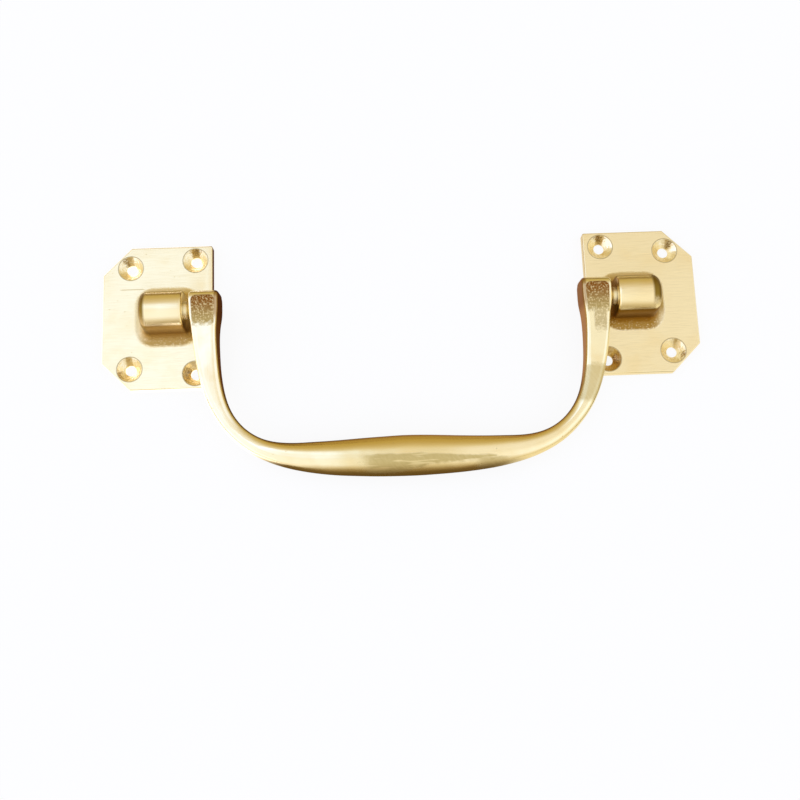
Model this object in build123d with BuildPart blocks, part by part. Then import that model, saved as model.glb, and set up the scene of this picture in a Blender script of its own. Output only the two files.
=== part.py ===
import os
from math import asin, degrees

from build123d import *

# A swinging bail handle on two screwed backplates, all of cast brass, in millimetres.
# It lies on its back: +Z points out of the panel, X runs along the pivot line and the
# bail hangs towards -Y. The origin is on the mounting plane, midway between the plates.

# Backplates
plate_length = 35.0
plate_height = 47.0
plate_thickness = 3.0
plate_corner_cut = 9.0
plate_corner_round = 0.6
plate_edge_round = 0.35

# Screw holes, two near the inner edge and two near the cut corners
screw_radius = 1.7
countersink_radius = 4.0
countersink_angle = 90
inner_hole_inset = 5.5
inner_hole_spacing = 37.4
outer_hole_inset = 8.75
outer_hole_spacing = 33.4

# Barrels that hold the pivot, each on a saddle that is cast onto its plate
barrel_radius = 6.2
barrel_length = 13.5
barrel_inset = 7.7
barrel_end_round = 2.3
barrel_mouth_round = 0.8
saddle_fillet = 3.6
pivot_rise = 6.7

# Pivot spigots, cast in one with the bail
spigot_radius = 2.8
spigot_clearance = 0.06
spigot_engagement = 9.0
spigot_end_gap = 0.8
spigot_tip_chamfer = 0.5
spigot_root_radius = 4.1
spigot_root_length = 1.2
arm_barrel_gap = 1.95

# Bail centre line: the arms stand this far apart at the pivot line, lean in towards the
# bends by these amounts, and reach the grip this far below the pivot line
arm_spacing = 122.2
grip_drop = 47.9
arm_middle_lean = 1.0
arm_middle_drop = 19.0
bend_start_lean = 5.8
bend_start_rise = 13.5
bend_end_lean = 14.6
bend_end_rise = 4.8
shoulder_lean = 31.1
shoulder_rise = 0.55

# Bail sections: width in the bail's plane, depth across it, and rounding of the edges
end_width = 9.3
end_depth = 10.8
end_edge = 1.1
end_foot_width = 9.1
end_foot_depth = 10.75
upper_arm_width = 8.3
upper_arm_depth = 10.2
upper_arm_edge = 1.2
arm_width = 7.2
arm_depth = 8.4
arm_edge = 1.4
arm_foot_width = 6.1
arm_foot_depth = 6.6
arm_foot_edge = 1.9
bend_width = 5.0
bend_depth = 5.4
bend_edge = 2.35
neck_width = 6.5
neck_depth = 6.2
neck_edge = 2.9
shoulder_width = 9.4
shoulder_depth = 8.8
shoulder_edge = 4.1
swell_width = 11.4
swell_depth = 10.9
swell_edge = 5.1
grip_width = 12.5
grip_depth = 12.0
grip_edge = 5.7

# Squared arm ends: how far they reach past the pivot line, and their rounding from the side
end_reach = 5.5
end_side_round = 3.0

# Places that follow from the sizes above
pivot_height = plate_thickness + pivot_rise
arm_x = arm_spacing / 2
arm_side_x = arm_x + end_width / 2
barrel_face_x = arm_side_x + arm_barrel_gap
barrel_end_x = barrel_face_x + barrel_length
plate_inner_x = barrel_face_x - barrel_inset
plate_outer_x = plate_inner_x + plate_length
inner_hole_x = plate_inner_x + inner_hole_inset
outer_hole_x = plate_outer_x - outer_hole_inset
bore_radius = spigot_radius + spigot_clearance
bore_depth = spigot_engagement + spigot_end_gap
spigot_tip_x = barrel_face_x + spigot_engagement

hole_places = [
    (inner_hole_x, inner_hole_spacing / 2, plate_thickness),
    (inner_hole_x, -inner_hole_spacing / 2, plate_thickness),
    (outer_hole_x, outer_hole_spacing / 2, plate_thickness),
    (outer_hole_x, -outer_hole_spacing / 2, plate_thickness),
]

# Stations from the pivot line to the middle of the grip: share of the way along the half
# bail, width, depth and rounding of the edges
stations = [
    (0.00, end_width, end_depth, end_edge),
    (0.018, end_foot_width, end_foot_depth, end_edge),
    (0.05, upper_arm_width, upper_arm_depth, upper_arm_edge),
    (0.14, arm_width, arm_depth, arm_edge),
    (0.265, arm_foot_width, arm_foot_depth, arm_foot_edge),
    (0.425, bend_width, bend_depth, bend_edge),
    (0.56, neck_width, neck_depth, neck_edge),
    (0.69, shoulder_width, shoulder_depth, shoulder_edge),
    (0.83, swell_width, swell_depth, swell_edge),
    (1.00, grip_width, grip_depth, grip_edge),
]

with BuildPart() as right_backplate:
    # Flat plate, its two outer corners cut off and its inner ones eased
    with BuildSketch() as plate_outline:
        with Locations(((plate_inner_x + plate_outer_x) / 2, 0)):
            Rectangle(plate_length, plate_height)
        chamfer(plate_outline.vertices().group_by(Axis.X)[-1], plate_corner_cut)
        fillet(plate_outline.vertices().group_by(Axis.X)[0], plate_corner_round)
    extrude(amount=plate_thickness)
    fillet(right_backplate.faces().sort_by(Axis.Z)[-1].edges(), plate_edge_round)

    # Barrel on a saddle of the same width, rounded over at its outer end
    with BuildSketch(Plane.YZ.offset(barrel_face_x)):
        with Locations((0, pivot_height)):
            Circle(barrel_radius)
            Rectangle(2 * barrel_radius, pivot_rise, align=(Align.CENTER, Align.MAX))
    extrude(amount=barrel_length)
    barrel_edges = right_backplate.edges().filter_by_position(Axis.Y, -barrel_radius, barrel_radius)
    end_edges = barrel_edges.filter_by_position(Axis.X, barrel_end_x, barrel_end_x)
    fillet(end_edges.sort_by(Axis.Z)[1:], barrel_end_round)
    mouth_edges = barrel_edges.filter_by_position(Axis.X, barrel_face_x, barrel_face_x)
    fillet(mouth_edges.sort_by(Axis.Z)[1:], barrel_mouth_round)

    # Cast fillet all round the foot of the saddle
    foot_edges = right_backplate.edges().filter_by_position(Axis.Z, plate_thickness, plate_thickness)
    fillet(foot_edges.filter_by_position(Axis.X, barrel_face_x, barrel_end_x), saddle_fillet)

    # Blind bore from the barrel's inner face
    with BuildSketch(Plane.YZ.offset(barrel_face_x)):
        with Locations((0, pivot_height)):
            Circle(bore_radius)
    extrude(amount=bore_depth, mode=Mode.SUBTRACT)

    # Countersunk screw holes
    with Locations(hole_places):
        CounterSinkHole(screw_radius, countersink_radius, counter_sink_angle=countersink_angle)

with BuildPart() as left_backplate:
    mirror(right_backplate.part, about=Plane.YZ)

# The bail is shaped flat on XY, with its pivot line on the X axis
with BuildPart() as flat_bail:
    with BuildLine():
        centre_line = Spline(
            (arm_x, 0),
            (arm_x - arm_middle_lean, -arm_middle_drop),
            (arm_x - bend_start_lean, bend_start_rise - grip_drop),
            (arm_x - bend_end_lean, bend_end_rise - grip_drop),
            (arm_x - shoulder_lean, shoulder_rise - grip_drop),
            (0, -grip_drop),
            tangents=[(0, -1), (-1, 0)],
        )

    # Squared arm ends above the pivot line
    for end_x in (arm_x, -arm_x):
        with BuildSketch(Plane.YZ.offset(end_x - end_width / 2)) as end_outline:
            Rectangle(end_reach, end_depth, align=(Align.MIN, Align.CENTER))
            fillet(end_outline.vertices().group_by(Axis.X)[-1], end_side_round)
        extrude(amount=end_width)
    side_edges = flat_bail.faces().filter_by(Axis.X).edges()
    fillet(side_edges.filter_by_position(Axis.Y, 0, end_reach, inclusive=(False, True)), end_edge)

    # Down the right arm to the middle of the grip
    for share, width, depth, edge in stations:
        point = centre_line @ share
        along = centre_line % share
        with BuildSketch(Plane(point, x_dir=along.cross(Vector(0, 0, 1)), z_dir=along)):
            RectangleRounded(width, depth, edge)

    # Back up the left arm
    for share, width, depth, edge in reversed(stations[:-1]):
        point = centre_line @ share
        along = centre_line % share
        point = Vector(-point.X, point.Y)
        along = Vector(along.X, -along.Y)
        with BuildSketch(Plane(point, x_dir=along.cross(Vector(0, 0, 1)), z_dir=along)):
            RectangleRounded(width, depth, edge)
    loft()

    # Spigots with flared roots, turned about the pivot line
    for side in (1, -1):
        with BuildSketch():
            Polygon(
                (side * arm_x, 0),
                (side * arm_x, spigot_root_radius),
                (side * arm_side_x, spigot_root_radius),
                (side * (arm_side_x + spigot_root_length), spigot_radius),
                (side * (spigot_tip_x - spigot_tip_chamfer), spigot_radius),
                (side * spigot_tip_x, spigot_radius - spigot_tip_chamfer),
                (side * spigot_tip_x, 0),
                align=None,
            )
        revolve(axis=Axis.X)

# It droops from the pivot line until the underside of the grip meets the mounting plane
droop = asin((pivot_height - grip_depth / 2) / grip_drop)
with BuildPart() as bail:
    with Locations(Location((0, 0, pivot_height), (degrees(droop), 0, 0))):
        add(flat_bail.part)

os.makedirs("parts", exist_ok=True)
left_backplate.part.label = "left_backplate"
right_backplate.part.label = "right_backplate"
bail.part.label = "bail"
export_step(left_backplate.part, "parts/left_backplate.step")
export_step(right_backplate.part, "parts/right_backplate.step")
export_step(bail.part, "parts/bail.step")
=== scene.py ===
from math import asin, cos, pi, radians, sin, tan

import bmesh
import bpy
import numpy as np
from mathutils import Matrix, Vector, noise


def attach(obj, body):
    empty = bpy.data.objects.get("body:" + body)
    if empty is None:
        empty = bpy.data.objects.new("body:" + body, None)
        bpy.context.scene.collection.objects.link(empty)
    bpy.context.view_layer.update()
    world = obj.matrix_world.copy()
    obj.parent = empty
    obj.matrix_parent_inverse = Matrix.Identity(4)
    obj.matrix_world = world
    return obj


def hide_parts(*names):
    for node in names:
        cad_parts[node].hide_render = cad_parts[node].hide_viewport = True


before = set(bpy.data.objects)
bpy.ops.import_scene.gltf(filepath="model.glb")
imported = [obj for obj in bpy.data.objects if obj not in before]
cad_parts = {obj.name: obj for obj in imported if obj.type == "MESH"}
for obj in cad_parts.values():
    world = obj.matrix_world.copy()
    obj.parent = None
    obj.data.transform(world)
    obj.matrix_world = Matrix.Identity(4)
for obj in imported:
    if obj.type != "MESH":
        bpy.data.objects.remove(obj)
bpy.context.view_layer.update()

# A swinging bail handle of cast brass on two screwed backplates, lying on its back.
# Lengths in the dictionaries are millimetres, and mm turns them into scene units.
mm = 0.001
print("frame loaded:", sorted(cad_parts))


class Wire:
    # one socket's value; sums and products of wires add their Math nodes
    def __init__(self, graph, socket):
        self.graph, self.socket = graph, socket

    def maths(self, operation, first, second=None):
        values = {0: first} if second is None else {0: first, 1: second}
        return self.graph.add("ShaderNodeMath", {"operation": operation}, values)

    def __add__(self, other):
        return self.maths("ADD", self, other)

    def __radd__(self, other):
        return self.maths("ADD", other, self)

    def __sub__(self, other):
        return self.maths("SUBTRACT", self, other)

    def __rsub__(self, other):
        return self.maths("SUBTRACT", other, self)

    def __mul__(self, other):
        return self.maths("MULTIPLY", self, other)

    def __rmul__(self, other):
        return self.maths("MULTIPLY", other, self)

    def __truediv__(self, other):
        return self.maths("DIVIDE", self, other)

    def __rtruediv__(self, other):
        return self.maths("DIVIDE", other, self)

    def __pow__(self, other):
        return self.maths("POWER", self, other)

    def __rpow__(self, other):
        return self.maths("POWER", other, self)

    def size(self):
        return self.maths("ABSOLUTE", self)

    def root(self):
        return self.maths("SQRT", self)

    def above(self, other):
        return self.maths("MAXIMUM", self, other)

    def below(self, other):
        return self.maths("MINIMUM", self, other)

    def ramp(self, fade):
        # 0 at the first place of a fade, 1 at the second, with soft shoulders
        start, end = fade
        return self.graph.add(
            "ShaderNodeMapRange",
            {"interpolation_type": "SMOOTHSTEP", "clamp": True},
            {"Value": self, "From Min": start, "From Max": end, "To Min": 0.0, "To Max": 1.0},
        )

    def near(self, middle, fade):
        # the same by how far it is from a middle
        return (self - middle).size().ramp(fade)

    def between(self, pair):
        # the first of a pair where this is 0, the second where it is 1
        first, second = pair
        return first + self * (second - first)


class Graph:
    def __init__(self, tree):
        self.tree = tree
        tree.nodes.clear()

    def add(self, kind, settings=None, values=None, out=0):
        # makes a node: its settings first, then a value or a wire for each named socket
        made = self.tree.nodes.new(kind)
        for name, value in (settings or {}).items():
            setattr(made, name, value)
        for name, value in (values or {}).items():
            if isinstance(value, Wire):
                self.tree.links.new(value.socket, made.inputs[name])
            else:
                made.inputs[name].default_value = value
        return Wire(self, made.outputs[out]) if len(made.outputs) else made

    def mixColour(self, share, first, second, blend="MIX"):
        # sockets 6 and 7 of the Mix node are its two colours and output 2 the mixed one
        return self.add(
            "ShaderNodeMix",
            {"data_type": "RGBA", "blend_type": blend},
            {0: share, 6: first, 7: second},
            out=2,
        )

    def paint(self, mask, under, tone):
        # lays a tone over what is under it, as strongly as the tone's fourth number says
        return self.mixColour(mask * tone[3], under, tone[:3] + (1,))

    def stretched(self, place, scale):
        return self.add("ShaderNodeVectorMath", {"operation": "MULTIPLY"}, {0: place, 1: scale})

    def measure(self):
        # the place on the piece at rest, in mm from the part's origin, whole and in its parts
        metres = self.add("ShaderNodeTexCoord", out=3)
        self.place = self.stretched(metres, (1 / mm, 1 / mm, 1 / mm))
        self.x, self.y, self.z = self.parts(self.place)

    def seen(self):
        # 1 for what the camera looks at, 0 for what the brass mirrors
        return self.add("ShaderNodeLightPath")

    def cloud(self, scale=1.0, detail=2.0, rough=0.5, lean=0.0, stretch=None, fade=None, place=None):
        # soft noise with about so many lumps to the mm, over the piece unless told otherwise
        place = place or self.place
        if stretch:
            place = self.stretched(place, stretch)
        values = {"Vector": place, "Scale": scale, "Detail": detail, "Roughness": rough}
        values["Distortion"] = lean
        lumps = self.add("ShaderNodeTexNoise", {"noise_dimensions": "3D"}, values)
        return lumps.ramp(fade) if fade else lumps

    def dots(self, scale, fade):
        # scattered dots, faded by how far it is to the middle of the next one
        values = {"Vector": self.place, "Scale": scale}
        return self.add("ShaderNodeTexVoronoi", {"feature": "F1"}, values).ramp(fade)

    def parts(self, place):
        return [self.add("ShaderNodeSeparateXYZ", None, {0: place}, out=i) for i in range(3)]

    def far(self, first, second):
        # length of the slope over two sides
        return (first * first + second * second).root()

    def joined(self, x, y, z):
        return self.add("ShaderNodeCombineXYZ", None, {0: x, 1: y, 2: z})


# The bail: squared arm ends, oval bends and a swelling grip, with a spigot on each arm
bailSizes = {
    "pivotHeight": 9.7,
    # centre line of half the bail: how far in from the arm's middle it leans, and how far down
    "armX": 61.1,
    "gripDrop": 47.9,
    "leans": [(0.0, 0.0), (1.0, 19.0), (5.8, 34.4), (14.6, 43.1), (31.1, 47.35)],
    # share of the way to the middle, width, depth, rounding of the edges
    "stations": [
        (0.00, 9.3, 10.8, 1.1),
        (0.018, 9.1, 10.75, 1.1),
        (0.05, 8.3, 10.2, 1.2),
        (0.14, 7.2, 8.4, 1.4),
        (0.265, 6.1, 6.6, 1.9),
        (0.425, 5.0, 5.4, 2.35),
        (0.56, 6.5, 6.2, 2.9),
        (0.69, 9.4, 8.8, 4.1),
        (0.83, 11.4, 10.9, 5.1),
        (1.00, 12.5, 12.0, 5.7),
    ],
    "endReach": 5.5,
    "endSideRound": 3.0,
    # steps of the mesh: half the bar's length, the sections, and the arm ends' heights
    "rows": 190,
    "flatSteps": 8,
    "cornerSteps": 5,
    "straightSteps": 5,
    "roundSteps": 12,
    # spigots, from the arms' outer sides
    "rootRadius": 4.1,
    "rootLength": 1.2,
    "rootSunk": 1.0,
    "spigotRadius": 2.8,
    "spigotLength": 10.95,
    "tipChamfer": 0.5,
    "flareSteps": 8,
    "spigotSteps": 64,
    # hand finishing: how far the surface wanders, and over what distance
    "wander": 0.07,
    "wanderReach": 9.0,
}


def smoothThrough(places, values, startSlope, endSlope):
    # cubic pieces through the values, with even curvature and the slopes given at the ends
    places, values = np.array(places, float), np.array(values, float)
    gap = np.diff(places)
    rise = np.diff(values, axis=0) / gap[:, None]
    count = len(places)
    left, right = np.zeros((count, count)), np.zeros_like(values)
    left[0, 0] = left[-1, -1] = 1
    right[0], right[-1] = startSlope, endSlope
    for i in range(1, count - 1):
        left[i, i - 1], left[i, i], left[i, i + 1] = gap[i], 2 * (gap[i - 1] + gap[i]), gap[i - 1]
        right[i] = 3 * (gap[i] * rise[i - 1] + gap[i - 1] * rise[i])
    slopes = np.linalg.solve(left, right)

    def at(place):
        i = min(max(int(np.searchsorted(places, place, side="right")) - 1, 0), count - 2)
        t = (place - places[i]) / gap[i]
        return (
            (2 * t**3 - 3 * t**2 + 1) * values[i]
            + (t**3 - 2 * t**2 + t) * gap[i] * slopes[i]
            + (3 * t**2 - 2 * t**3) * values[i + 1]
            + (t**3 - t**2) * gap[i] * slopes[i + 1]
        )

    return at


def ringPlan(flat, corner):
    # walks once round a rectangle: for each point its side and how far it is along it,
    # as a share of the flat (-1 to 1) or as an angle into a corner
    half = [("flat", -1 + 2 * i / flat) for i in range(flat)]
    half += [("corner", radians(45) * i / corner) for i in range(corner)]
    before = [("before", radians(45) * (corner - i) / corner) for i in range(corner)]
    return [(side, kind, t) for side in range(4) for kind, t in before + half]


def turned(side, a, b):
    # sides 0 to 3 face +depth, +width, -depth and -width, walked round in one sense
    alongTurn, outTurn = (1, 0, -1, 0)[side], (0, 1, 0, -1)[side]
    return (a * alongTurn + b * outTurn, b * alongTurn - a * outTurn)


def ringPoint(side, kind, t, halfWidth, halfDepth, edge):
    # the walk on a rectangle with its corners rounded, in (width, depth)
    along, out = (halfWidth, halfDepth) if side % 2 == 0 else (halfDepth, halfWidth)
    if kind == "flat":
        return turned(side, t * (along - edge), out)
    a, b = along - edge + edge * sin(t), out - edge + edge * cos(t)
    return turned(side, -a if kind == "before" else a, b)


def boxPoint(side, kind, t, halfWidth, halfDepth, edge):
    # the same walk on the sharp rectangle that lies round the rounded one
    along, out = (halfWidth, halfDepth) if side % 2 == 0 else (halfDepth, halfWidth)
    if kind == "flat":
        return turned(side, t * (along - edge), out)
    a = along - edge + edge * tan(t)
    return turned(side, -a if kind == "before" else a, out)


def endHeights(s):
    # the rings' heights above the pivot line on an arm end: evenly up its straight part, then
    # by even angles round its corners
    straight = s["endReach"] - s["endSideRound"]
    steps, roundSteps = s["straightSteps"], s["roundSteps"]
    heights = [straight * i / steps for i in range(1, steps + 1)]
    turns = [radians(45) * i / roundSteps for i in range(1, roundSteps + 1)]
    return heights + [straight + s["endSideRound"] * tan(turn) for turn in turns]


def onBlock(s, u, h, v):
    # pushes a point of an arm end's sharp block onto the rounded one
    width, depth, edge = s["stations"][0][1:]
    innerWidth, halfDepth, sideRound = width / 2 - edge, depth / 2, s["endSideRound"]
    straight = s["endReach"] - sideRound
    innerU = max(-innerWidth, min(innerWidth, u))
    size, sign = abs(v), 1 if v >= 0 else -1
    bendV, bendR = halfDepth - sideRound, sideRound - edge
    dh, dv = h - straight, size - bendV
    if dh > 0 and dv > 0:
        pull = min(1.0, bendR / (dh * dh + dv * dv) ** 0.5)
        innerH, innerV = straight + dh * pull, bendV + dv * pull
    else:
        innerH, innerV = min(h, s["endReach"] - edge), min(size, halfDepth - edge)
    gap = Vector((u - innerU, h - innerH, size - innerV)).normalized() * edge
    return Vector((innerU + gap.x, innerH + gap.y, sign * (innerV + gap.z)))


def endPoint(s, side, u, h, v):
    # a point of the right arm's end (side 1) or of the left one's (side -1)
    point = onBlock(s, u, h, v)
    return Vector((side * (s["armX"] - point.x), point.y, point.z))


def barRings(s, plan):
    # sections along the bar, from the right arm's pivot line round to the left one's
    line = [(s["armX"] - lean, -drop) for lean, drop in s["leans"]]
    line = np.array(line + [(0, -s["gripDrop"])])
    steps = np.linalg.norm(np.diff(line, axis=0), axis=1)
    total = steps.sum()
    lengths = np.concatenate([[0], np.cumsum(steps)]) / total
    centre = smoothThrough(lengths, line, np.array([0, -1]) * total, np.array([-1, 0]) * total)
    shares = [row[0] for row in s["stations"]]
    mirrored = shares + [2 - share for share in reversed(shares[:-1])]
    sizes = [row[1:] for row in s["stations"]]
    sizes = np.array(sizes + list(reversed(sizes[:-1])))
    slope = (sizes[1] - sizes[0]) / (shares[1] - shares[0])
    section = smoothThrough(mirrored, sizes, slope, -slope)

    nudge = 1e-4
    for row in range(2 * s["rows"] + 1):
        share = row / s["rows"]
        near = share if share <= 1 else 2 - share
        x, y = centre(near)
        ahead = centre(min(near + nudge, 1.0)) - centre(max(near - nudge, 0.0))
        along = Vector((ahead[0], ahead[1], 0)).normalized()
        if share > 1:
            x, along = -x, Vector((along.x, -along.y, 0))
        out = along.cross(Vector((0, 0, 1)))
        width, depth, edge = section(share)
        ring = [ringPoint(*p, width / 2, depth / 2, edge) for p in plan]
        yield [Vector((x, y, 0)) + out * u + Vector((0, 0, v)) for u, v in ring]


def addBar(points, faces, s):
    # the bar in one skin: rings from the top of the right arm's end to the top of the left
    # one's, both tops closed with a grid
    plan = ringPlan(s["flatSteps"], s["cornerSteps"])
    width, depth, edge = s["stations"][0][1:]
    sharpRing = [boxPoint(*p, width / 2, depth / 2, edge) for p in plan]
    count = len(plan)

    def endRings(side, heights):
        return [[endPoint(s, side, u, h, v) for u, v in sharpRing] for h in heights]

    def cap(start, side):
        places = [(round(u, 6), round(v, 6)) for u, v in sharpRing]
        index = {place: start + i for i, place in enumerate(places)}
        us, vs = (sorted({place[i] for place in places}) for i in range(2))
        for u in us:
            for v in vs:
                if (u, v) not in index:
                    index[u, v] = len(points)
                    points.append(endPoint(s, side, u, s["endReach"], v))
        for u0, u1 in zip(us, us[1:]):
            for v0, v1 in zip(vs, vs[1:]):
                quad = (index[u0, v0], index[u1, v0], index[u1, v1], index[u0, v1])
                faces.append(quad if side > 0 else tuple(reversed(quad)))

    def bridge(a, b):
        for i in range(count):
            j = (i + 1) % count
            faces.append((a + i, a + j, b + j, b + i))

    heights = endHeights(s)
    rings = endRings(1, reversed(heights)) + list(barRings(s, plan)) + endRings(-1, heights)
    for number, ring in enumerate(rings):
        start = len(points)
        points.extend(ring)
        if number == 0:
            cap(start, 1)
        else:
            bridge(previous, start)
        previous = start
    cap(previous, -1)


def addSpigot(points, faces, s, side):
    # turned about the pivot line: a closed form that starts inside its arm
    sideX = s["armX"] + s["stations"][0][1] / 2
    tipX, chamfer, start = sideX + s["spigotLength"], s["tipChamfer"], sideX - s["rootSunk"]
    root, length, thin = s["rootRadius"], s["rootLength"], s["spigotRadius"]
    profile = [(start, 0), (start, root)]
    for turn in (radians(90) * i / s["flareSteps"] for i in range(s["flareSteps"] + 1)):
        profile.append((sideX + length * (1 - cos(turn)), thin + (root - thin) * (1 - sin(turn))))
    profile += [(tipX - chamfer, thin), (tipX, thin - chamfer), (tipX, 0)]

    rings, steps = [], s["spigotSteps"]
    turns = [2 * pi * k / steps for k in range(steps)]
    for x, radius in profile:
        first = len(points)
        if radius == 0:
            points.append(Vector((side * x, 0, 0)))
            rings.append([first] * steps)
        else:
            points.extend(Vector((side * x, radius * cos(t), radius * sin(t))) for t in turns)
            rings.append(list(range(first, first + steps)))
    for a, b in zip(rings, rings[1:]):
        for k in range(steps):
            n = (k + 1) % steps
            corners = [a[k], b[k], b[n], a[n]]
            kept = [c for i, c in enumerate(corners) if c not in corners[:i]]
            faces.append(tuple(kept) if side < 0 else tuple(reversed(kept)))


def buildBail(s):
    points, faces = [], []
    addBar(points, faces, s)
    barPoints = len(points)
    for side in (1, -1):
        addSpigot(points, faces, s, side)

    # hung from the pivot line with the grip's underside on the mounting plane
    droop = asin((s["pivotHeight"] - s["stations"][-1][2] / 2) / s["gripDrop"])
    hang = Matrix.Translation((0, 0, s["pivotHeight"])) @ Matrix.Rotation(droop, 4, "X")
    mesh = bpy.data.meshes.new("bail_casting")
    mesh.from_pydata([tuple((hang @ p) * mm) for p in points], [], faces)
    mesh.validate()
    mesh.shade_smooth()

    # the uneven surface that filing and polishing by hand leave
    normals = [v.normal.copy() for v in mesh.vertices]
    for vertex, normal in zip(mesh.vertices[:barPoints], normals):
        lump = noise.noise(vertex.co / (s["wanderReach"] * mm))
        vertex.co += normal * lump * s["wander"] * mm
    return placePiece(mesh, "bail", "bail"), droop


def placePiece(mesh, body, nodeName):
    # the piece has its mesh's name
    piece = bpy.data.objects.new(mesh.name, mesh)
    bpy.context.scene.collection.objects.link(piece)
    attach(piece, body)
    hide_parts(nodeName)
    return piece


bail, droop = buildBail(bailSizes)
print("bail built:", len(bail.data.polygons), "faces")


# The plates keep their nodes' surface, with its seams welded
plateMesh = {
    "weld": 0.002,
    "sharpAngle": 24,  # degrees: steeper edges stay sharp
}


def buildPlate(nodeName, pieceName, s):
    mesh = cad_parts[nodeName].data.copy()
    form = bmesh.new()
    form.from_mesh(mesh)
    bmesh.ops.remove_doubles(form, verts=form.verts, dist=s["weld"] * mm)
    form.to_mesh(mesh)
    form.free()
    mesh.name = pieceName
    if "custom_normal" in mesh.attributes:
        mesh.attributes.remove(mesh.attributes["custom_normal"])
    mesh.shade_smooth()
    mesh.set_sharp_from_angle(angle=radians(s["sharpAngle"]))
    return placePiece(mesh, "backplates", nodeName)


leftPlate = buildPlate("left_backplate", "left_plate_casting", plateMesh)
rightPlate = buildPlate("right_backplate", "right_plate_casting", plateMesh)
print("backplates built")


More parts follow.
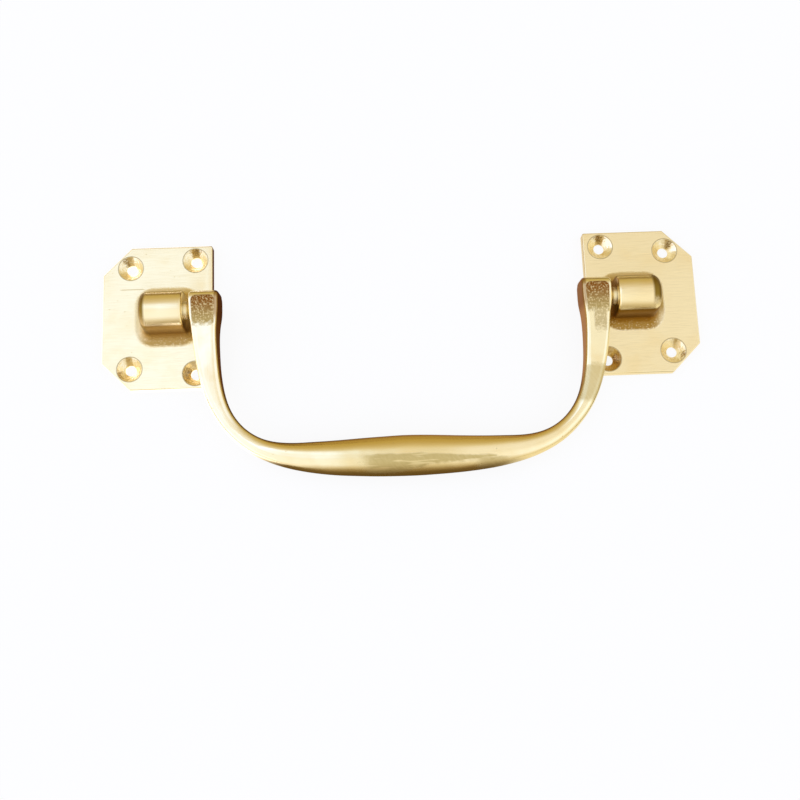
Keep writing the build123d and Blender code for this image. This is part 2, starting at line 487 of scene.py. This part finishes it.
# Brass of the plates: linished face, rough-cast foot round the barrel, turned screw holes.
# A colour's fourth number is how strongly it is laid on. A Fade is the place where a mask is
# 0 and the place where it is 1. A Share is a strength on the left plate and on the right one,
# and a Hold is what a second mask makes of the first, where it is 0 and where it is 1.
plateLook = {
    "metal": (0.93, 0.78, 0.43, 1),
    "warmMetal": (0.90, 0.70, 0.32, 0.5),
    "roughness": 0.24,
    "middleFade": (-1, 1),
    # linished face: brush lines along the plate, faint stains and a few pits
    "faceFade": (0.9, 0.99),
    "lines": {"stretch": (0.18, 4.6, 0.4), "detail": 3, "rough": 0.6},
    "fine": {"stretch": (0.12, 7.0, 0.4)},
    "lineWeight": 0.6,
    "lineFade": (0.45, 0.75),
    "lineShare": (0.2, 0.45),
    "lineTone": (0.72, 0.56, 0.26, 1),
    "lineRoughness": 0.16,
    "stain": {"scale": 0.11, "detail": 3, "fade": (0.45, 0.75)},
    "pits": {"scale": 0.42, "fade": (0.09, 0.04)},
    "pitPlaces": {"scale": 0.3, "fade": (0.5, 0.6)},
    "pitTone": (0.72, 0.56, 0.26, 0.8),
    # the barrel, and the rough-cast foot round its saddle
    "barrelFace": 67.7,
    "barrelEnd": 81.2,
    "barrelRadius": 6.2,
    "grain": {"scale": 1.6, "detail": 3, "rough": 0.65},
    "footTurn": 2.5,
    "footRagged": 1.3,
    "lowerRagged": 3.0,
    "lowerFade": (-1.5, -5.5),
    "hardFade": (3.75, 2.8),
    "outerFade": (80.2, 84.5),
    "outerHold": (1, 0.4),
    "softFade": (3.9, 2.8),
    "softHold": (0.7, 1.3),
    "softShare": (0.48, 1),
    "topRagged": 0.6,
    "topFade": (13.0, 12.3),
    "liftFade": (2.0, 2.8),
    "castRoughness": 0.42,
    # tones of the foot below the pivot line, as cast skin darkened with painted shade: fillet, wall of
    # the saddle and flank of the barrel, the last two with more painted shade, and painted light on
    # the left plate
    "footSkinAndShade": (0.37, 0.205, 0.036, 1),
    "speck": {"scale": 2.4, "rough": 0.7, "fade": (0.58, 0.68)},
    "speckTone": (1.0, 0.84, 0.50, 0.85),
    "speckHold": (1, 0.45),
    "wallFade": (1.9, 0.2),
    "wallShadeTone": (0.34, 0.165, 0.015, 1),
    "wallHold": (1, 0.5),
    "flankFade": (5.0, 7.5),
    "flankShare": (0.2, 1),
    "flankShadeTone": (0.24, 0.115, 0.006, 1),
    "flankHold": (1, 0.6),
    "leftLightTone": (0.66, 0.48, 0.19, 0.3),
    # and above it: top of the saddle, its outer end with painted shade on the right plate, and painted
    # shade up the barrel where it turns away
    "topTone": (0.66, 0.48, 0.19, 1),
    "sideFade": (0.1, 0.5),
    "sideTone": (0.50, 0.34, 0.09, 1),
    "rightSideShade": (0.37, 0.205, 0.036, 0.45),
    "shoulderFade": (4.0, 9.0),
    "crestLift": (7.0, 9.5),
    "crestFade": (4.0, 6.0),
    "crestShadeTone": (0.60, 0.46, 0.12, 0.9),
    "edgeFade": (4.9, 5.7),
    "edgeShadeTone": (0.26, 0.16, 0.01, 1),
    # painted shade: a darker ring round the barrel's outer end, which is also left rough as cast
    "endShift": 0.8,
    "endFade": (78.7, 79.7),
    "endStop": (0.3, 0),
    "endLift": (4.0, 6.0),
    "endShare": (0.2, 1),
    "endShadeTone": (0.25, 0.15, 0.02, 1),
    # painted shade in the mouth of the right barrel, above the pin
    "mouthFade": (68.0, 67.7),
    "mouthLift": (3.3, 5.0),
    "mouthTop": (0.5, 2.5),
    "mouthStop": (2.5, 0.5),
    "mouthShadeTone": (0.30, 0.13, 0.015, 0.85),
    # screw holes: turned cones with a dark rim, each with a wedge of painted shade at its upper side
    "innerHole": (65.5, 18.7),
    "outerHole": (86.25, 16.7),
    "coneRadius": 4.0,
    "coneFade": (0.05, -0.1),
    "coneMetal": (0.96, 0.88, 0.64, 0.35),
    "coneShade": (0.58, 0.39, 0.11, 1),
    "rimPlace": 0.06,
    "rimFade": (0.26, 0.03),
    "rimHold": (0.35, 0.95),
    "rimTone": (0.34, 0.24, 0.09, 1),
    "turnPitch": 6,
    "chatter": {"scale": 1.1, "detail": 1},
    "innerWedge": (1.4, 0.9),
    "innerWedgeTop": (18, 20),
    "outerWedge": (1.3, 0.7),
    "outerWedgeTop": (0.2, 1.6),
    "wedgeShift": (0.3, 1.6),
    "wedgeStrength": 0.75,
    "behindArm": (72, 70),
    "behindBelow": (0, -3),
    "behindShare": (0.35, 0.8),
    # a file mark on the left plate
    "markX": -85.6,
    "markY": 9.6,
    "markLength": (4.4, 3.0),
    "markWidth": (0.17, 0.05),
    "markTone": (0.34, 0.24, 0.09, 0.42),
    # relief, in mm
    "waves": {"scale": 0.16, "detail": 1},
    "waveDepth": 0.09,
    "waveHold": (1, 0.3),
    "lineDepth": 0.005,
    "fineDepth": 0.002,
    "reliefShare": (0.5, 1),
    "grainDepth": 0.22,
    "grainHold": (1, 0.4),
    "turnDepth": 0.02,
    "chatterDepth": 0.12,
    "pitDepth": 0.03,
}


def newMaterial(name):
    material = bpy.data.materials.new(name)
    material.use_nodes = True
    return material, Graph(material.node_tree)


def finishBrass(g, colour, roughness, height):
    # bare metal with its relief, whose height is in mm
    bump = g.add("ShaderNodeBump", None, {"Strength": 1.0, "Distance": mm, "Height": height})
    surface = {"Base Color": colour, "Metallic": 1.0, "Roughness": roughness, "Normal": bump}
    shader = g.add("ShaderNodeBsdfPrincipled", None, surface)
    g.add("ShaderNodeOutputMaterial", None, {"Surface": shader})


def castFoot(g, look, grain, onRight):
    # how far the foot of the barrel is left as cast: softly above the pivot line, hard below
    across, ragged = g.x.size(), grain - 0.5
    middle = (look["barrelFace"] + look["barrelEnd"]) / 2
    pastEnd = (across - middle).size() - (look["barrelEnd"] - look["barrelFace"]) / 2
    pastSide = g.y.size() - look["barrelRadius"]
    turn = look["footTurn"]
    foot = g.far((pastEnd + turn).above(0), (pastSide + turn).above(0)) - turn
    foot = foot + ragged * look["footRagged"]
    lower = (g.y + ragged * look["lowerRagged"]).ramp(look["lowerFade"])
    hard = foot.ramp(look["hardFade"]) * across.ramp(look["outerFade"]).between(look["outerHold"])
    soft = foot.ramp(look["softFade"]) * grain.between(look["softHold"]).below(1)
    soft = soft * onRight.between(look["softShare"])
    low = (g.z + ragged * look["topRagged"]).ramp(look["topFade"])
    cast = lower.between((soft, hard)) * low * g.z.ramp(look["liftFade"])
    return cast, foot.ramp(look["wallFade"]), lower, pastEnd, pastSide


def castSkinAndShadeTones(g, look, onRight, wall, lower, pastEnd):
    # the foot's tones below the pivot line: cast skin darkened with painted shade, more of it at the
    # saddle's wall and on the barrel's flank, and lighter with painted light on the left plate
    speck = g.cloud(**look["speck"])
    tone = g.paint(speck * wall.between(look["speckHold"]), look["footSkinAndShade"], look["speckTone"])
    tone = g.paint(wall * speck.between(look["wallHold"]), tone, look["wallShadeTone"])
    flank = wall * g.z.ramp(look["flankFade"]) * onRight.between(look["flankShare"])
    tone = g.paint(flank * speck.between(look["flankHold"]), tone, look["flankShadeTone"])
    tone = g.paint(1 - onRight, tone, look["leftLightTone"])

    # above it, with painted shade on the right plate's outer end and up the barrel's shoulder
    beyond = pastEnd.ramp(look["sideFade"])
    upper = g.paint(beyond, look["topTone"], look["sideTone"])
    upper = g.paint(beyond * onRight, upper, look["rightSideShade"])
    upper = g.paint(g.z.ramp(look["shoulderFade"]), upper, look["edgeShadeTone"])
    tone = g.mixColour(lower, upper, tone)

    # and the ring of painted shade round the barrel's outer end
    end = (g.x.size() + onRight * look["endShift"]).ramp(look["endFade"])
    end = end * pastEnd.ramp(look["endStop"]) * g.z.ramp(look["endLift"])
    end = end * (1 - lower * onRight.between(look["endShare"]))
    return g.paint(end, tone, look["endShadeTone"]), end


def screwHoles(g, look, grain, onRight):
    across, along = g.x.size(), g.y.size()
    (innerX, innerY), (outerX, outerY) = look["innerHole"], look["outerHole"]
    hole = g.far(across - innerX, along - innerY).below(g.far(across - outerX, along - outerY))
    pastCone = hole - look["coneRadius"]
    cone = pastCone.ramp(look["coneFade"])
    rim = pastCone.near(look["rimPlace"], look["rimFade"]) * grain.between(look["rimHold"])
    turning = g.cloud(place=g.joined(hole * look["turnPitch"], 0, 0))
    cutMarks = turning * look["turnDepth"] + g.cloud(**look["chatter"]) * look["chatterDepth"]

    # the wedges of painted shade, and the two holes behind the arms, which get painted shade all round
    wedge = across.near(innerX, look["innerWedge"]) * g.y.ramp(look["innerWedgeTop"])
    upwards = (along - outerY) * g.y.ramp(look["middleFade"]).between((-1, 1))
    outer = (across - onRight.between(look["wedgeShift"])).near(outerX, look["outerWedge"])
    wedge = wedge.above(outer * upwards.ramp(look["outerWedgeTop"])) * look["wedgeStrength"]
    shaded = across.ramp(look["behindArm"]) * g.y.ramp(look["behindBelow"])
    shaded = (shaded * onRight.between(look["behindShare"])).above(wedge)
    return cone, rim, cone * shaded, cone * cutMarks


def buildPlateBrass(look):
    material, g = newMaterial("plate_brass")
    g.measure()
    grain, onRight = g.cloud(**look["grain"]), g.x.ramp(look["middleFade"])
    cast, wall, lower, pastEnd, pastSide = castFoot(g, look, grain, onRight)
    castTone, end = castSkinAndShadeTones(g, look, onRight, wall, lower, pastEnd)
    cone, rim, shaded, cutMarks = screwHoles(g, look, grain, onRight)

    # linished face
    facing = g.parts(g.add("ShaderNodeNewGeometry", out=1))[2]
    face = facing.ramp(look["faceFade"]) * (1 - cast) * (1 - cone)
    lines, fine = g.cloud(**look["lines"]), g.cloud(**look["fine"])
    brushed = (lines * look["lineWeight"] + fine * (1 - look["lineWeight"])).ramp(look["lineFade"])
    pits = g.dots(**look["pits"]) * g.cloud(**look["pitPlaces"]) * face
    mark = g.x.near(look["markX"], look["markLength"]) * g.y.near(look["markY"], look["markWidth"])

    colour = g.paint(g.cloud(**look["stain"]), look["metal"], look["warmMetal"])
    colour = g.paint(brushed * face * onRight.between(look["lineShare"]), colour, look["lineTone"])
    colour = g.paint(cone, colour, look["coneMetal"])
    # painted shade in the cones
    colour = g.paint(shaded, colour, look["coneShade"])
    colour = g.paint(pits, colour, look["pitTone"])
    colour = g.paint(rim, colour, look["rimTone"])
    # painted shade along the top of the barrel where it turns away, darkest at its edge
    crest = g.z.ramp(look["crestLift"])
    colour = g.paint(crest * g.y.ramp(look["crestFade"]), colour, look["crestShadeTone"])
    colour = g.paint(crest * g.y.ramp(look["edgeFade"]), colour, look["edgeShadeTone"])
    # the ring of painted shade at the barrel's end is rough as cast too
    cast = cast.above(end)
    colour = g.mixColour(cast, colour, castTone)
    # painted shade in the mouth of the right barrel, above the pin
    mouth = g.x.ramp(look["mouthFade"]) * onRight * g.z.ramp(look["mouthLift"])
    mouth = mouth * g.y.ramp(look["mouthTop"]) * pastSide.ramp(look["mouthStop"])
    colour = g.paint(mouth, colour, look["mouthShadeTone"])
    colour = g.paint(mark, colour, look["markTone"])

    rough = look["roughness"] + (lines - 0.5) * look["lineRoughness"] * face
    rough = rough + cast * (look["castRoughness"] - look["roughness"])
    relief = (lines * look["lineDepth"] + fine * look["fineDepth"]) * face
    height = relief * onRight.between(look["reliefShare"]) - (pits + mark) * look["pitDepth"]
    waves = g.cloud(**look["waves"]) * look["waveDepth"]
    height = height + waves * face.between(look["waveHold"])
    height = height + cast * wall.between(look["grainHold"]) * grain * look["grainDepth"]
    finishBrass(g, colour, rough, height + cutMarks)
    return material


# Brass of the bail: polished, with cast skin left on the arm ends and scuffs on the grip.
# An Edge is how far a mask's edge wanders, then where the mask is 0 and where it is 1.
bailLook = {
    "metal": (0.93, 0.78, 0.43, 1),
    "armFade": (48, 56),
    "armMetal": (0.93, 0.81, 0.47, 1),
    # painted light: paler metal on the left arm and bend
    "leftFade": (-36, -56),
    "leftLitMetal": (0.97, 0.88, 0.59, 1),
    # painted shade: duller metal in the middle of the grip, which dims its reflection
    "gripMiddle": -3,
    "gripWander": 2,
    "gripFade": (24, 12),
    "gripShadeMetal": (0.81, 0.65, 0.30, 0.85),
    "warmMetal": (0.88, 0.67, 0.30, 0.45),
    # painted highlight: paler metal on the pins
    "pinFade": (4.8, 5.2),
    "pinHighlightMetal": (1.0, 0.90, 0.60, 1),
    "roughness": 0.17,
    "gripRoughness": 0.23,
    "gripRoughFade": (44, 24),
    "rightFade": (0, 1),
    # polishing lines that follow the bar, faint stains and a few pits
    "barLines": {"stretch": (0.10, 2.6, 2.6)},
    "armLines": {"stretch": (2.6, 0.10, 1.0)},
    "lineRoughness": 0.10,
    "stain": {"scale": 0.13, "detail": 3, "fade": (0.45, 0.75)},
    "pits": {"scale": 0.40, "fade": (0.11, 0.05)},
    "pitPlaces": {"scale": 0.25, "fade": (0.52, 0.6)},
    "pitTone": (0.56, 0.43, 0.16, 0.6),
    # cast skin on the fronts of the arm ends, with a tail down the right arm
    "grain": {"scale": 1.7, "detail": 3, "rough": 0.7},
    "coarse": {"scale": 0.9, "rough": 0.6, "lean": 0.6},
    "skinRagged": 3.2,
    "skinHalf": 3.6,
    "skinTaper": 0.04,
    "skinTop": 3.7,
    "skinTurn": 1.8,
    "skinFade": (1.95, 1.6),
    "skinReach": (-6.4, -4.3),
    "skinFront": (2.8, 3.4),
    "tailMiddle": 0.5,
    "tailHalf": (2.3, 1.6),
    "tailRagged": 1.4,
    "tailReach": (-12.5, -9.5),
    "tailTop": (0, -4),
    "tailStrength": 0.75,
    "skinToneFade": (-5, 3.2),
    "skinFootTone": (0.46, 0.33, 0.11, 1),
    "skinTopTone": (0.25, 0.09, 0.009, 1),
    "skinSpeckFade": (0.50, 0.62),
    "skinSpeck": (0.85, 0.68, 0.33, 0.7),
    "skinRoughness": 0.45,
    # painted shade on the arm ends' inner corners
    "cornerFade": (-3.1, -3.8),
    "cornerReach": (-5.5, -2.0),
    "cornerShadeTone": (0.42, 0.25, 0.08, 0.85),
    # scuffs along the front of the grip, at its right end and at the foot of the right arm
    "scuffEdge": {"scale": 0.35, "detail": 3, "rough": 0.7},
    "scuffWander": 2.2,
    "headFade": (2, 22),
    "headDrop": 1.1,
    "footFade": (-4, 12),
    "footDrop": (5.4, 2.7),
    "bandTopEdge": (0.5, -0.6, 0.1),
    "bandFootEdge": (0.8, 0.5, -0.5),
    "bandLeftEdge": (3, -15.5, -9),
    "bandRightEdge": (1.2, 28, 26.4),
    "bandFront": (-1.0, 0.5),
    "streak": {"stretch": (0.10, 1.1, 1.1), "fade": (0.56, 0.66)},
    "streakHold": (1, 0.4),
    "heelTopEdge": (0.4, 1.0, 1.8),
    "heelLeftEdge": (2, 20, 24),
    "heelRightEdge": (2, 34, 28),
    "heelFront": (-1.5, 0.3),
    "heelStrength": 0.8,
    "armFootEdge": (1, -34, -32),
    "armTopEdge": (1.5, -21, -23),
    "armFront": (1.6, 2.4),
    "armStrength": 0.7,
    "hatchSlope": (0.8, 0.3),
    "hatch": {"stretch": (2.2, 0.5, 0.5)},
    "hatchHold": (0.6, 1.3),
    "scuffTone": (0.56, 0.43, 0.16, 1),
    "scuffRoughness": 0.42,
    # painted shade on the side of the grip towards the plates
    "innerSpan": 52,
    "innerRise": 8.6,
    "innerPower": 5,
    "innerEdge": (0.25, 0.7, 2.6),
    "innerEnds": (47, 37),
    "innerShadeTone": (0.85, 0.665, 0.275, 1),
    # relief, in mm
    "waves": {"scale": 0.15, "detail": 1},
    "waveDepth": 0.14,
    "lineDepth": 0.004,
    "pitDepth": 0.03,
    "hatchDepth": 0.03,
    "skinDepth": 0.30,
    "skinSunk": 0.12,
}


def castSkin(g, look, grain, reach, front, across):
    # a rounded patch on the front of each arm end, ragged at its foot
    ragged = (g.cloud(**look["coarse"]) - 0.5) * look["skinRagged"]
    turn = look["skinTurn"]
    pastSide = across.size() - (look["skinHalf"] + reach * look["skinTaper"]) + turn
    pastTop = reach - look["skinTop"] + turn
    patch = g.far(pastSide.above(0), pastTop.above(0)).ramp(look["skinFade"])
    patch = patch * (reach + ragged).ramp(look["skinReach"])

    # with a tail on the right
    tail = across.near(look["tailMiddle"], look["tailHalf"]) * reach.ramp(look["tailTop"])
    tail = tail * (reach + ragged * look["tailRagged"]).ramp(look["tailReach"])
    tail = tail * g.x.ramp(look["rightFade"]) * look["tailStrength"]
    patch = patch.above(tail) * front.ramp(look["skinFront"])
    tone = g.paint(reach.ramp(look["skinToneFade"]), look["skinFootTone"], look["skinTopTone"])
    return patch, g.paint(grain.ramp(look["skinSpeckFade"]), tone, look["skinSpeck"])


def scuffs(g, look, s, reach, front):
    wander = (g.cloud(**look["scuffEdge"]) - 0.5) * look["scuffWander"]

    def edged(value, name):
        share, *fade = look[name]
        return (value + wander * share).ramp(fade)

    below = -s["gripDrop"] - reach
    head = g.x.ramp(look["headFade"]) * look["headDrop"]
    foot = g.x.ramp(look["footFade"]).between(look["footDrop"])
    band = edged(below - head, "bandTopEdge") * edged(below - foot, "bandFootEdge")
    band = band * edged(g.x, "bandLeftEdge") * edged(g.x, "bandRightEdge")
    band = band * front.ramp(look["bandFront"])
    band = band * g.cloud(**look["streak"]).between(look["streakHold"])
    heel = edged(below, "heelTopEdge") * edged(g.x, "heelLeftEdge") * edged(g.x, "heelRightEdge")
    heel = heel * front.ramp(look["heelFront"]) * look["heelStrength"]
    arm = edged(reach, "armFootEdge") * edged(reach, "armTopEdge") * g.x.ramp(look["rightFade"])
    arm = arm * front.ramp(look["armFront"]) * look["armStrength"]

    # painted shade on the side of the grip towards the plates
    rise = (g.x.size() / look["innerSpan"]) ** look["innerPower"] * look["innerRise"]
    inner = edged(reach + s["gripDrop"] - rise, "innerEdge") * g.x.size().ramp(look["innerEnds"])
    gripPlace = (g.x + wander * look["gripWander"]).near(look["gripMiddle"], look["gripFade"])
    return band.above(heel).above(arm), inner, gripPlace


def buildBailBrass(look, s):
    material, g = newMaterial("bail_brass")
    g.measure()
    x, y, z = g.x, g.y, g.z
    fromMiddle, lift = x.size(), z - s["pivotHeight"]
    reach = y * cos(droop) + lift * sin(droop)  # past the pivot line, along the arms
    front = lift * cos(droop) - y * sin(droop)  # above the bail's own middle plane
    across = fromMiddle - s["armX"]
    grain = g.cloud(**look["grain"])
    patch, skin = castSkin(g, look, grain, reach, front, across)
    scuff, inner, gripPlace = scuffs(g, look, s, reach, front)

    # polish
    onArms = fromMiddle.ramp(look["armFade"])
    lines = onArms.between((g.cloud(**look["barLines"]), g.cloud(**look["armLines"])))
    pits = g.dots(**look["pits"]) * g.cloud(**look["pitPlaces"])
    pin = across.ramp(look["pinFade"])
    corner = across.ramp(look["cornerFade"]) * reach.ramp(look["cornerReach"])
    down, over = look["hatchSlope"]
    hatch = g.cloud(place=g.joined(x + y * down, y - x * over, z), **look["hatch"])

    colour = g.paint(onArms, look["metal"], look["armMetal"])
    # painted light on the left arm and bend
    colour = g.paint(x.ramp(look["leftFade"]), colour, look["leftLitMetal"])
    # painted shade in the middle of the grip
    colour = g.paint(gripPlace, colour, look["gripShadeMetal"])
    colour = g.paint(g.cloud(**look["stain"]), colour, look["warmMetal"])
    # painted highlight on the pins
    colour = g.paint(pin, colour, look["pinHighlightMetal"])
    # painted shade on the side of the grip towards the plates
    colour = g.paint(inner, colour, look["innerShadeTone"])
    colour = g.paint(pits, colour, look["pitTone"])
    colour = g.paint(scuff * hatch.between(look["hatchHold"]).below(1), colour, look["scuffTone"])
    # painted shade on the arm ends' inner corners
    colour = g.paint(corner, colour, look["cornerShadeTone"])
    colour = g.mixColour(patch, colour, skin)

    plain = look["roughness"]
    rough = plain + (lines - 0.5) * look["lineRoughness"]
    rough = rough + fromMiddle.ramp(look["gripRoughFade"]) * (look["gripRoughness"] - plain)
    rough = rough + scuff * (look["scuffRoughness"] - plain)
    rough = rough + patch.above(pin) * (look["skinRoughness"] - plain)
    height = g.cloud(**look["waves"]) * look["waveDepth"]
    height = height + lines * look["lineDepth"] - pits * look["pitDepth"]
    height = height + scuff * hatch * look["hatchDepth"]
    height = height + patch * (grain * look["skinDepth"] - look["skinSunk"])
    finishBrass(g, colour, rough, height)
    return material


def dress(piece, material):
    piece.data.materials.clear()
    piece.data.materials.append(material)


plateBrass = buildPlateBrass(plateLook)
bailBrass = buildBailBrass(bailLook, bailSizes)
dress(leftPlate, plateBrass)
dress(rightPlate, plateBrass)
dress(bail, bailBrass)
print("brass made")


# Floor: the camera sees it plain and pale. The brass mirrors it pale all round, with painted shade
# between the arms and under the grip, and duller far off behind, in front and to the right.
floorLook = {
    "side": 6.0,  # metres
    "drop": 0.2,
    "white": (0.985, 0.985, 0.985, 1),
    "shadow": 0.10,
    "pale": (0.98, 0.93, 0.80, 1),
    # bright on the left
    "bright": (2.2, 2.1, 2.3, 1),
    "brightStart": (-35, -66),
    "brightEnd": (-200, -130),
    # far off
    "behind": (0.30, 0.20, 0.06, 1),
    "behindFade": (28, 42),
    "farRight": (0.34, 0.27, 0.12, 1),
    "farRightFade": (104, 118),
    "farRightBack": (-20, -4),
    # in front of the grip and of the two bends
    "frontMiddle": -7,
    "frontStart": (44, 54),
    "frontHalf": (50, 32),
    "frontSpread": 0.4,
    "bendPlace": 76,
    "bendHalf": (14, 6),
    "bendSpread": 0.25,
    "bendStart": (24, 34),
    "bendOut": (70, 76),
    "shade": (0.14, 0.085, 0.024, 1),
    "shadeFar": (0.34, 0.25, 0.12, 1),
    "shadeFade": (54, 120),
    # between the arms, painted shade: half width and drop, how square it is, edge, share left at the
    # right arm
    "gapHalf": 62,
    "gapDrop": 53,
    "gapPower": 3,
    "gapFade": (1.06, 0.92),
    "gapRight": (56.5, 58.5),
    "gapRightHold": (1, 0.25),
    "gapDark": (0.10, 0.035, 0.010, 1),
    "gapWarm": (0.42, 0.22, 0.12, 1),
    "gapWarmFade": (-52, 48),
    "gapFar": (0.50, 0.36, 0.12, 1),
    "gapFarBack": (-43, -14),
    "gapFarHalf": (50, 30),
    "gapHem": (0.11, 0.065, 0.015, 0.85),
    "gapHemFade": (0.30, 0.45),
    "gapHemFront": (-20, -28),
}


def buildFloor(s):
    half = s["side"] / 2
    mesh = bpy.data.meshes.new("floor")
    corners = [(-half, -half), (half, -half), (half, half), (-half, half)]
    mesh.from_pydata([(x, y, -s["drop"] * mm) for x, y in corners], [], [(0, 1, 2, 3)])
    floor = bpy.data.objects.new("floor", mesh)
    bpy.context.scene.collection.objects.link(floor)
    material, g = newMaterial("pale_floor")
    glow = g.add("ShaderNodeEmission", None, {"Color": s["white"], "Strength": 1.0})
    matt = g.add("ShaderNodeBsdfDiffuse", None, {"Color": s["white"]})
    plain = g.add("ShaderNodeMixShader", None, {0: s["shadow"], 1: glow, 2: matt})

    g.measure()
    x, y = g.x, g.y
    fromMiddle, ahead = x.size(), 0 - y
    bright = x.ramp(s["brightStart"]) * x.ramp(s["brightEnd"])
    mirrored = g.paint(bright, s["pale"], s["bright"])
    mirrored = g.paint(y.ramp(s["behindFade"]), mirrored, s["behind"])
    farRight = x.ramp(s["farRightFade"]) * y.ramp(s["farRightBack"])
    mirrored = g.paint(farRight, mirrored, s["farRight"])

    spread = (ahead - s["frontStart"][1]).above(0) * s["frontSpread"]
    front = ((x - s["frontMiddle"]).size() - spread).ramp(s["frontHalf"]) * ahead.ramp(s["frontStart"])
    bends = (fromMiddle - ahead * s["bendSpread"]).near(s["bendPlace"], s["bendHalf"])
    bends = bends * ahead.ramp(s["bendStart"]) * fromMiddle.ramp(s["bendOut"])
    shade = g.paint(ahead.ramp(s["shadeFade"]), s["shade"], s["shadeFar"])
    mirrored = g.mixColour(front.above(bends), mirrored, shade)

    gap = g.paint(x.ramp(s["gapWarmFade"]), s["gapDark"], s["gapWarm"])
    gapFar = y.ramp(s["gapFarBack"]) * fromMiddle.ramp(s["gapFarHalf"])
    gap = g.paint(gapFar, gap, s["gapFar"])
    power = s["gapPower"]
    outwards = (fromMiddle / s["gapHalf"]) ** power + (ahead.above(0) / s["gapDrop"]) ** power
    hem = outwards.ramp(s["gapHemFade"]) * y.ramp(s["gapHemFront"])
    gap = g.paint(hem, gap, s["gapHem"])
    inside = outwards.ramp(s["gapFade"]) * x.ramp(s["gapRight"]).between(s["gapRightHold"])
    mirrored = g.mixColour(inside, mirrored, gap)
    mirror = g.add("ShaderNodeEmission", None, {"Color": mirrored, "Strength": 1.0})
    both = g.add("ShaderNodeMixShader", None, {0: g.seen(), 1: mirror, 2: plain})
    g.add("ShaderNodeOutputMaterial", None, {"Surface": both})
    mesh.materials.append(material)


# Light: a room that only the brass mirrors, with a soft box overhead that is stronger on the
# left, darker walls, and a plain pale backdrop for the camera. Its places are measured on the
# direction that the brass looks in: x to the right, y to the back and z up.
roomLight = {
    "backdrop": (0.985, 0.985, 0.985, 1),
    "paleWall": (0.92, 0.86, 0.70, 1),
    "leftWall": (1.6, 1.5, 1.8, 1),
    "leftWallFade": (-0.25, -0.70),
    "leftWallBack": (0.45, 0.15),
    "leftWallUp": (0.05, 0.30),
    "overhead": (0.97, 0.96, 1.02, 1),
    "overheadFront": (1.06, 1.07, 1.16, 1),
    "overheadBack": (-0.25, 0.10),
    "overheadUp": (0.20, 0.60),
    # strong light from the upper left
    "key": (0.32, 0.68, 1.75, 1),
    "keyBack": (0.60, 0.36),
    "keyLeft": (-0.10, -0.19),
    "keyFarLeft": (-0.19, -0.30),
    "keyFarLeftHold": (1, 0.5),
    "keyFront": (-0.10, 0.15),
    "keyFrontHold": (0.35, 1),
    # a weaker one from the right
    "rightLight": (0.12, 0.20, 0.45, 1),
    "rightFade": (0.36, 0.52),
    "rightUp": (0.1, 0.3),
    # darker wall behind, which comes closer at one place on the left
    "backWall": (0.58, 0.45, 0.17, 1),
    "backFade": (0.20, 1.08),
    "nearBack": (0.36, 0.62),
    "nearBackStart": (0, -0.1),
    "nearBackEnd": (-0.45, -0.30),
    "nearBackStrength": 0.5,
    # and the one in front, darkest at its foot
    "frontWall": (0.78, 0.70, 0.58, 1),
    "frontFoot": (0.40, 0.31, 0.18, 1),
    "frontUp": (0, 0.45),
    "frontFade": (-0.70, -0.98),
    "frontRight": (0.50, 0.34),
    "frontLeft": (-0.40, -0.26),
    "frontThin": (0.05, 0.25),
    "frontThinHold": (1, 0.65),
}


def buildLight(s):
    world = bpy.data.worlds.new("studio")
    bpy.context.scene.world = world
    world.use_nodes = True
    g = Graph(world.node_tree)
    x, y, z = g.parts(g.add("ShaderNodeTexCoord", out=0))
    leftWall = x.ramp(s["leftWallFade"]) * y.ramp(s["leftWallBack"]) * z.ramp(s["leftWallUp"])
    walls = g.paint(leftWall, s["paleWall"], s["leftWall"])
    overhead = g.paint(y.ramp(s["overheadBack"]), s["overheadFront"], s["overhead"])
    room = g.mixColour(z.ramp(s["overheadUp"]), walls, overhead)

    nearBack = y.ramp(s["nearBack"]) * x.ramp(s["nearBackStart"]) * x.ramp(s["nearBackEnd"])
    back = y.ramp(s["backFade"]).above(nearBack * s["nearBackStrength"])
    key = y.ramp(s["keyBack"]) * x.ramp(s["keyLeft"])
    key = key * x.ramp(s["keyFarLeft"]).between(s["keyFarLeftHold"])
    key = key * y.ramp(s["keyFront"]).between(s["keyFrontHold"])
    room = g.mixColour(key * (1 - back), room, s["key"], "ADD")
    room = g.mixColour(x.ramp(s["rightFade"]) * z.ramp(s["rightUp"]), room, s["rightLight"], "ADD")

    front = y.ramp(s["frontFade"]) * x.ramp(s["frontRight"]) * x.ramp(s["frontLeft"])
    front = front * x.ramp(s["frontThin"]).between(s["frontThinHold"])
    frontWall = g.paint(z.ramp(s["frontUp"]), s["frontFoot"], s["frontWall"])
    room = g.mixColour(front, room, frontWall)
    room = g.paint(back, room, s["backWall"])
    light = g.add("ShaderNodeBackground", None, {"Color": room, "Strength": 1.0})
    plain = g.add("ShaderNodeBackground", None, {"Color": s["backdrop"], "Strength": 1.0})
    both = g.add("ShaderNodeMixShader", None, {0: g.seen(), 1: light, 2: plain})
    g.add("ShaderNodeOutputWorld", None, {"Surface": both})


# Camera at the photograph's angle: its place, and its turn about x, y and z in degrees, from
# looking straight down with the plates' upper sides at the top
photoView = {
    "sensor": 36,
    "lens": 46.76,
    "clip": (0.01, 20),  # metres
    "place": (-5.06, -95.95, 322.63),
    "turn": (11.736, -0.248, -2.134),
}


def buildCamera(s):
    data = bpy.data.cameras.new("camera")
    camera = bpy.data.objects.new("camera", data)
    bpy.context.scene.collection.objects.link(camera)
    data.sensor_width = s["sensor"]
    data.lens = s["lens"]
    data.clip_start, data.clip_end = s["clip"]
    camera.location = Vector(s["place"]) * mm
    camera.rotation_euler = [radians(angle) for angle in s["turn"]]
    bpy.context.scene.camera = camera


buildFloor(floorLook)
buildLight(roomLight)
buildCamera(photoView)
view = bpy.context.scene.view_settings
view.view_transform = "Standard"
print("floor, light and camera made")

bpy.context.view_layer.update()
